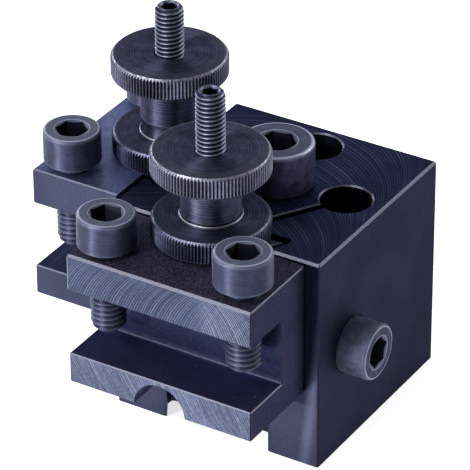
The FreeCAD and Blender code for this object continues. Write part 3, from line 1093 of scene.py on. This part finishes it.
@dataclass
class CapScrew:
    """Socket cap screw with its thread, in millimetres.

    The wear of the head's rounded rim is given in even steps, from its side to its face.
    """

    node: str
    length: float
    radius: float = 3.0
    pitch: float = 1.0
    head_radius: float = 5.0
    head_height: float = 6.0
    flats: float = 5.0
    socket_depth: float = 3.0
    axis: Axis = Axis.UP
    turn: float = 0.0
    rim: float = 0.5
    foot: float = 0.3
    segments: int = 72
    rim_wear: tuple[float, ...] = (0.1, 0.1, 0.1, 0.2, 0.85, 1.0)
    # Wear of the head's face; below zero, on the jaw screws, it is painted shade.
    face_wear_and_shade: float = 0.18
    mouth_gap: float = 0.1
    mouth_slope: float = 0.35
    edge: float = 0.07
    run_out: float = 0.05
    tip_step: float = 0.35
    thread_wear: float = 0.15

    @property
    def neck(self) -> float:
        """Radius where the thread runs out under the head."""
        return root_radius(self.radius, self.pitch) - self.run_out

    def head(self) -> list[Ring]:
        """Rings of the head.

        Returns:
            Rings from under the head, round its rim and down into the socket.
        """
        top = self.head_height
        inner = self.flats / 2
        mouth = inner / FLATS_SHARE + self.mouth_gap
        slope = self.mouth_slope
        lip = top - self.edge - (mouth - inner) * slope
        corner = self.head_radius - self.rim
        rings = [
            Ring(self.neck, 0.0),
            Ring(self.neck, SEAT_GAP),
            Ring(self.head_radius - self.foot, SEAT_GAP, 0.2),
            Ring(self.head_radius, self.foot, 0.15),
            Ring(self.head_radius, self.foot + 0.2),
            Ring(self.head_radius, top / 2),
            Ring(self.head_radius, top - self.rim - 0.15),
        ]
        for step, worn in enumerate(self.rim_wear):
            angle = math.pi / 2 * step / (len(self.rim_wear) - 1)
            rings.append(Ring(corner + self.rim * math.cos(angle),
                              top - self.rim + self.rim * math.sin(angle), worn))
        return [
            *rings,
            Ring(corner - 0.08, top, self.face_wear_and_shade),
            Ring(mouth + 0.16, top, self.face_wear_and_shade),
            Ring(mouth + 0.1, top - 0.01, 0.9),
            Ring(mouth, top - 0.06, 0.7),
            Ring(mouth - 0.04, top - self.edge, 0.15),
            Ring(inner, lip, 0.1, True, slope),
            # The socket's walls and floor take wear below zero: painted shade.
            Ring(inner, lip - self.edge, -0.87, True, slope),
            Ring(inner, top - self.socket_depth, -0.9, True),
        ]

    def mesh(self, tree: bpy.types.NodeTree, material: bpy.types.Material) -> bpy.types.Mesh:
        """Screw with its head's underside on z = 0 and its shank pointing down.

        Args:
            tree: The thread tree.
            material: Material of the screw.

        Returns:
            The finished mesh.
        """
        skin = Skin(self.segments)
        drill = self.flats / 2 * math.tan(math.pi / 6)
        skin.turn(self.head(), tip=self.head_height - self.socket_depth - drill)
        foot = root_radius(self.radius, self.pitch) - self.tip_step
        thread = Thread(self.radius, self.pitch, self.length, foot, self.neck, self.thread_wear,
                        self.segments)
        skin.graft(thread.mesh(tree, material), -self.length)
        skin.turn([Ring(foot, -self.length), Ring(foot * 0.5, -self.length)], tip=-self.length)
        return skin.mesh(self.node + "_mesh", material)

    def place(self) -> Matrix:
        """Where the screw goes.

        Returns:
            A place on its node's axis, with the head's top on the node's far end.
        """
        low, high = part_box(self.node)
        middle = (low + high) / 2
        direction = Vector(self.axis.value)
        far = Vector([high[i] if direction[i] else middle[i] for i in range(3)])
        seat = far - direction * self.head_height * MM
        turned = Matrix.Rotation(math.radians(self.turn), 4, "Z")
        return Matrix.Translation(seat) @ direction.to_track_quat("Z", "Y").to_matrix().to_4x4() @ turned

    def build(self, tree: bpy.types.NodeTree, material: bpy.types.Material) -> None:
        """Make the screw of this material and put it in place."""
        mesh = self.mesh(tree, material)
        add_piece(self.node + "_dressed", mesh, self.node, self.place())


@dataclass
class Screws:
    """All cap screws of the turret."""

    groups: Groups
    tree: bpy.types.NodeTree
    head: TurnedFinish = TurnedFinish(
        name="screw_steel", base=(0.044, 0.050, 0.100), glint=(0.12, 0.13, 0.19), worn=(0.52, 0.56, 0.72),
        roughness=0.52, anisotropy=0.95, rings=0.35, bump=0.3, worn_roughness=0.42,
        grazing=(0.95, 0.95, 1.0), metal=0.65)
    jaw: TurnedFinish = TurnedFinish(
        name="jaw_screw_steel", base=(0.080, 0.087, 0.148), glint=(0.17, 0.18, 0.25),
        worn=(0.28, 0.31, 0.42), roughness=0.66, anisotropy=0.0, rings=0.1, bump=0.3, blotches=0.22,
        metal=0.5)
    bolt: TurnedFinish = TurnedFinish(
        name="bolt_steel", base=(0.060, 0.052, 0.112), glint=(0.10, 0.10, 0.14), worn=(0.64, 0.70, 0.90),
        roughness=0.5, anisotropy=0.6, rings=0.15, bump=0.3, blotches=0.25)

    def build(self) -> None:
        """Make the four tool clamp screws, the centre bolt and the two jaw screws."""
        upright = self.head.material(self.groups)
        turns = {"front_clamp_screw_left": 8.0, "front_clamp_screw_right": 20.0,
                 "left_clamp_screw_near": 24.0, "left_clamp_screw_far": 50.0}
        for node, turn in turns.items():
            CapScrew(node, length=16.0, turn=turn).build(self.tree, upright)
        bolt = CapScrew("centre_bolt", length=38.0, radius=4.0, pitch=1.25, head_radius=6.5, head_height=8.0,
                        flats=6.0, socket_depth=4.0, turn=14.0, rim=0.65,
                        rim_wear=(0.05, 0.1, 0.3, 0.8, 1.0, 1.0))
        bolt.build(self.tree, self.bolt.material(self.groups))
        jaw_screws = (("side_clamp_screw", Axis.RIGHT, "X"), ("rear_clamp_screw", Axis.BACK, "Y"))
        for node, axis, tangent in jaw_screws:
            finish = replace(self.jaw, name=node + "_steel", tangent=tangent)
            # The jaw screws' faces are darkened: painted shade.
            screw = CapScrew(node, length=20.0, axis=axis, turn=10.0, face_wear_and_shade=-0.35)
            screw.build(self.tree, finish.material(self.groups))


@dataclass
class Stud:
    """Height stud: a socket set screw that stands up from its holder, in millimetres."""

    node: str
    turn: float
    radius: float = 2.5
    pitch: float = 0.8
    length: float = 40.0
    flats: float = 2.5
    socket_depth: float = 3.0
    end_radius: float = 1.88
    wear: float = 0.9
    segments: int = 60
    mouth_gap: float = 0.2
    mouth_slope: float = 0.9

    def build(self, tree: bpy.types.NodeTree, material: bpy.types.Material) -> None:
        """Make the stud and put it in place.

        Args:
            tree: The thread tree.
            material: Material of the stud.
        """
        end, top, slope = self.end_radius, self.length, self.mouth_slope
        inner = self.flats / 2
        mouth = inner / FLATS_SHARE + self.mouth_gap
        skin = Skin(self.segments)
        thread = Thread(self.radius, self.pitch, self.length, end, end, self.wear, self.segments)
        skin.graft(thread.mesh(tree, material), 0.0)
        skin.turn([Ring(end, 0.0), Ring(1.0, 0.0)], tip=0.0)
        skin.turn([
            Ring(end, top, 0.5),
            Ring(mouth, top, 0.6),
            Ring(inner, top - (mouth - inner) * slope, 0.2, True, slope),
            # The socket's walls and floor take wear below zero: painted shade.
            Ring(inner, top - 0.5, -0.8, True),
            Ring(inner, top - self.socket_depth, -0.9, True),
        ], tip=top - self.socket_depth - 0.7)
        place = node_foot(self.node) @ Matrix.Rotation(math.radians(self.turn), 4, "Z")
        mesh = skin.mesh(self.node + "_mesh", material)
        add_piece(self.node + "_threaded", mesh, self.node, place)


@dataclass
class Neck:
    """Foot ring and neck at the lower end of a lock nut's collar, in millimetres."""

    depth: float
    height: float
    top: float
    collar: float = 5.15
    foot: float = 5.4
    foot_height: float = 0.45
    edge: float = 0.12

    def rings(self) -> list[Ring]:
        """Rings of the foot and the neck.

        Returns:
            Rings from the foot's underside to where the neck ends.
        """
        return [
            Ring(self.foot - self.edge, SEAT_GAP, 0.2),
            Ring(self.foot, self.edge, 0.7),
            Ring(self.foot, self.foot_height - self.edge, 0.4),
            Ring(self.foot - self.edge, self.foot_height, 0.9),
            # From here into the neck's undercut the wear is below zero: painted shade.
            Ring(self.foot - 2.0 * self.edge, self.foot_height + 0.02, -0.3),
            Ring(self.collar - self.depth, self.height - 0.05, -0.55),
            Ring(self.collar - self.depth, self.height + 0.05, -0.45),
            Ring(self.collar, self.top, 0.2),
        ]


@dataclass
class KnurledNut:
    """Knurled disc nut, with a collar below it or without one, in millimetres.

    The discs' flat faces have rings at the two face radii, which keep the faces' points even.
    """

    node: str
    neck: Neck | None = None
    radius: float = 10.1
    rim: float = 9.65
    disc: float = 4.0
    depth: float = 0.22
    teeth: int = 104
    steps: int = 4
    rows: int = 18
    bore: float = 2.55
    edge: float = 0.25
    face_inner: float = 4.0
    face_outer: float = 7.0

    def under(self, base: float) -> list[Ring]:
        """Rings under the disc.

        Args:
            base: Height of the disc's underside.

        Returns:
            Rings from the bore to the disc's lower rim.
        """
        seat = SEAT_GAP if self.neck else 0.0
        rings = [Ring(self.bore, self.edge), Ring(self.bore + self.edge, seat)]
        if self.neck:
            collar = self.neck.collar
            rings += self.neck.rings()
            rings += [Ring(collar, height) for height in (self.neck.top + 0.3, base * 0.45, base * 0.7)]
            rings += [Ring(collar, base - 0.15), Ring(collar + 0.15, base)]
        else:
            rings.append(Ring(self.face_inner, base))
        return [*rings, Ring(self.face_outer, base), Ring(self.rim, base, 0.5)]

    def build(self, tree: bpy.types.NodeTree, material: bpy.types.Material) -> None:
        """Make the nut and put it in place.

        Args:
            tree: The knurl tree.
            material: Material of the nut.
        """
        low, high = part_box(self.node)
        tall = (high.z - low.z) / MM
        base = tall - self.disc if self.neck else 0.0
        skin = Skin(self.teeth * self.steps)
        sizes = {"Radius": self.radius, "Rim": self.rim, "Depth": self.depth, "Height": self.disc}
        values = {name: size * MM for name, size in sizes.items()}
        values |= {"Teeth": self.teeth, "Steps": self.steps, "Rows": self.rows, "Material": material}
        skin.graft(grown_mesh(tree, values), tall - self.disc)
        skin.turn(self.under(base))
        skin.turn([
            Ring(self.rim, tall, 1.0),
            Ring(self.rim - 0.03, tall, 1.0),
            Ring(self.rim - 0.13, tall, 0.1),
            Ring(self.face_outer, tall),
            Ring(self.face_inner, tall),
            Ring(self.bore + self.edge, tall),
            Ring(self.bore, tall - self.edge),
            Ring(self.bore, self.edge),
        ])
        mesh = skin.mesh(self.node + "_mesh", material)
        add_piece(self.node + "_knurled", mesh, self.node, node_foot(self.node))


@dataclass
class HeightStacks:
    """The studs and knurled nuts that set the holders' heights."""

    groups: Groups
    thread: bpy.types.NodeTree
    knurl: bpy.types.NodeTree
    stud: TurnedFinish = TurnedFinish(
        name="stud_thread_steel", base=(0.030, 0.032, 0.064), glint=(0.08, 0.09, 0.13),
        worn=(0.32, 0.34, 0.43), roughness=0.45, anisotropy=0.5, rings=0.0, bump=0.1)
    nut: TurnedFinish = TurnedFinish(
        name="nut_steel", base=(0.045, 0.044, 0.094), glint=(0.20, 0.19, 0.26), worn=(0.48, 0.47, 0.53),
        roughness=0.48, anisotropy=0.8, rings=0.6, bump=0.3)

    def build(self) -> None:
        """Make both studs and all four nuts."""
        stud = self.stud.material(self.groups)
        lock_nut = self.nut.material(self.groups)
        # The height nuts take a darker copy of the nut finish with dimmer rims: painted shade.
        shaded_copy = replace(self.nut, name="height_nut_steel", base=(0.037, 0.041, 0.090),
                         worn=(0.25, 0.26, 0.33))
        height_nut = shaded_copy.material(self.groups)
        stacks = {"front": (0.0, Neck(depth=0.15, height=0.65, top=0.8)),
                  "left": (35.0, Neck(depth=0.55, height=2.2, top=3.1))}
        for side, (turn, neck) in stacks.items():
            Stud(side + "_height_stud", turn).build(self.thread, stud)
            KnurledNut(side + "_height_nut").build(self.knurl, height_nut)
            KnurledNut(side + "_lock_nut", neck).build(self.knurl, lock_nut)


def towards(azimuth: float, elevation: float) -> Vector:
    """Direction from the object to something round it.

    Args:
        azimuth: Where it stands, from the front towards the right, in degrees.
        elevation: How high it stands, in degrees.

    Returns:
        The direction, of length 1.
    """
    a, e = math.radians(azimuth), math.radians(elevation)
    return Vector((math.sin(a) * math.cos(e), -math.cos(a) * math.cos(e), math.sin(e)))


@dataclass
class Studio:
    """Pale floor, soft light and the camera at the photograph's angle.

    The focal length is in pixels of a square picture, and the shifts tell where the aim lies in the frame.
    """

    azimuth: float = 31.357
    elevation: float = 31.205
    roll: float = -0.225
    distance: float = 631.74 * MM
    shift_right: float = 7.150 * MM
    shift_up: float = -7.980 * MM
    focal_pixels: float = 3668.4
    picture_pixels: float = 470.0
    sensor: float = 36.0
    aim: Vector = field(default_factory=lambda: Vector((0.0, 0.0, 20.0 * MM)))
    floor_radius: float = 4.0
    floor_colour: Colour = (0.93, 0.93, 0.93)
    floor_glow: float = 0.7
    floor_roughness: float = 0.9
    floor_segments: int = 96
    nearest: float = 0.01
    farthest: float = 20.0
    horizon: Colour = (0.85, 0.85, 0.87)
    overhead: Colour = (0.42, 0.42, 0.45)
    right_side: Colour = (0.20, 0.20, 0.22)

    def camera(self) -> None:
        """Make the camera. Its place follows from the angles, the distance and the shifts."""
        roll = math.radians(self.roll)
        back = towards(self.azimuth, self.elevation)
        right = towards(self.azimuth + 90.0, 0.0)
        up = back.cross(right)
        tilted_right = right * math.cos(roll) + up * math.sin(roll)
        tilted_up = up * math.cos(roll) - right * math.sin(roll)
        shift = tilted_right * self.shift_right + tilted_up * self.shift_up
        turn = Matrix((tilted_right, tilted_up, back)).transposed().to_4x4()
        data = bpy.data.cameras.new("camera")
        data.lens = self.focal_pixels / self.picture_pixels * self.sensor
        data.sensor_width = self.sensor
        data.clip_start = self.nearest
        data.clip_end = self.farthest
        camera = add_object("camera", data)
        camera.matrix_world = Matrix.Translation(self.aim - shift + back * self.distance) @ turn
        bpy.context.scene.camera = camera

    def floor(self) -> None:
        """Make the round pale floor that the block stands on."""
        shape = bmesh.new()
        bmesh.ops.create_circle(shape, cap_ends=True, radius=self.floor_radius, segments=self.floor_segments)
        mesh = bpy.data.meshes.new("floor")
        shape.to_mesh(mesh)
        shape.free()
        material, sheet, shader = new_material("floor_paper")
        path = sheet.add("ShaderNodeLightPath").outputs
        seen = sheet.plus(path["Is Camera Ray"], path["Is Glossy Ray"])
        seen = sheet.math("ADD", seen, path["Is Transmission Ray"], clamp=True)
        sheet.fill(shader, {
            "Metallic": 0.0,
            "Base Color": (*self.floor_colour, 1.0),
            "Roughness": self.floor_roughness,
            "Specular IOR Level": 0.0,
            "Emission Color": (1.0, 1.0, 1.0, 1.0),
            "Emission Strength": sheet.times(seen, self.floor_glow),
        })
        mesh.materials.append(material)
        floor = add_object("floor", mesh)

    def sun(self, name: str, azimuth: float, elevation: float, strength: float, angle: float) -> None:
        """Add a distant soft lamp.

        Args:
            name: Name of the lamp.
            azimuth: Where it stands, from the front towards the right, in degrees.
            elevation: How high it stands, in degrees.
            strength: Its light on a face that looks at it, in watts for each square metre.
            angle: How wide it looks, in degrees.
        """
        data = bpy.data.lights.new(name, "SUN")
        data.energy = strength
        data.angle = math.radians(angle)
        lamp = add_object(name, data)
        lamp.matrix_world = towards(azimuth, elevation).to_track_quat("Z", "Y").to_matrix().to_4x4()

    def world(self) -> None:
        """Fill the room with plain light, pale at the horizon, dimmer overhead and dimmest to the right."""
        world = bpy.data.worlds.new("studio")
        world.use_nodes = True
        bpy.context.scene.world = world
        sheet = NodeSheet(world.node_tree)
        background = next(n for n in world.node_tree.nodes if n.type == "BACKGROUND")
        direction = sheet.add("ShaderNodeTexCoord").outputs["Generated"]
        height = sheet.split(direction)[2]
        rightward = sheet.reach(direction, (0.97, -0.25, 0.0))
        colour = sheet.tint(sheet.ramp(height, 0.05, 0.55), self.horizon, self.overhead)
        colour = sheet.tint(sheet.ramp(rightward, 0.0, 0.8), colour, self.right_side)
        sheet.fill(background, {"Color": colour, "Strength": 1.0})

    def build(self) -> None:
        """Make the camera, the floor, the lamps and the world."""
        self.camera()
        self.floor()
        self.sun("key", azimuth=-22.0, elevation=46.0, strength=1.6, angle=22.0)
        self.sun("rim", azimuth=150.0, elevation=30.0, strength=0.75, angle=30.0)
        self.sun("strip", azimuth=-24.0, elevation=12.0, strength=2.6, angle=10.0)
        self.sun("left", azimuth=-75.0, elevation=16.0, strength=0.35, angle=50.0)
        self.sun("edge", azimuth=-112.0, elevation=12.0, strength=0.7, angle=10.0)
        self.world()
        bpy.context.scene.view_settings.view_transform = "Standard"


def main() -> None:
    """Build the studio and every piece in order."""
    logging.basicConfig(level=logging.INFO, format="%(name)s: %(message)s")
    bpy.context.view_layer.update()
    groups = Groups(facing_group(), cutter_group(), grain_group(), turning_group())
    thread = thread_tree()
    Studio().build()
    MilledParts(groups).build()
    Screws(groups, thread).build()
    HeightStacks(groups, thread, knurl_tree()).build()


if __name__ == "__main__":
    main()
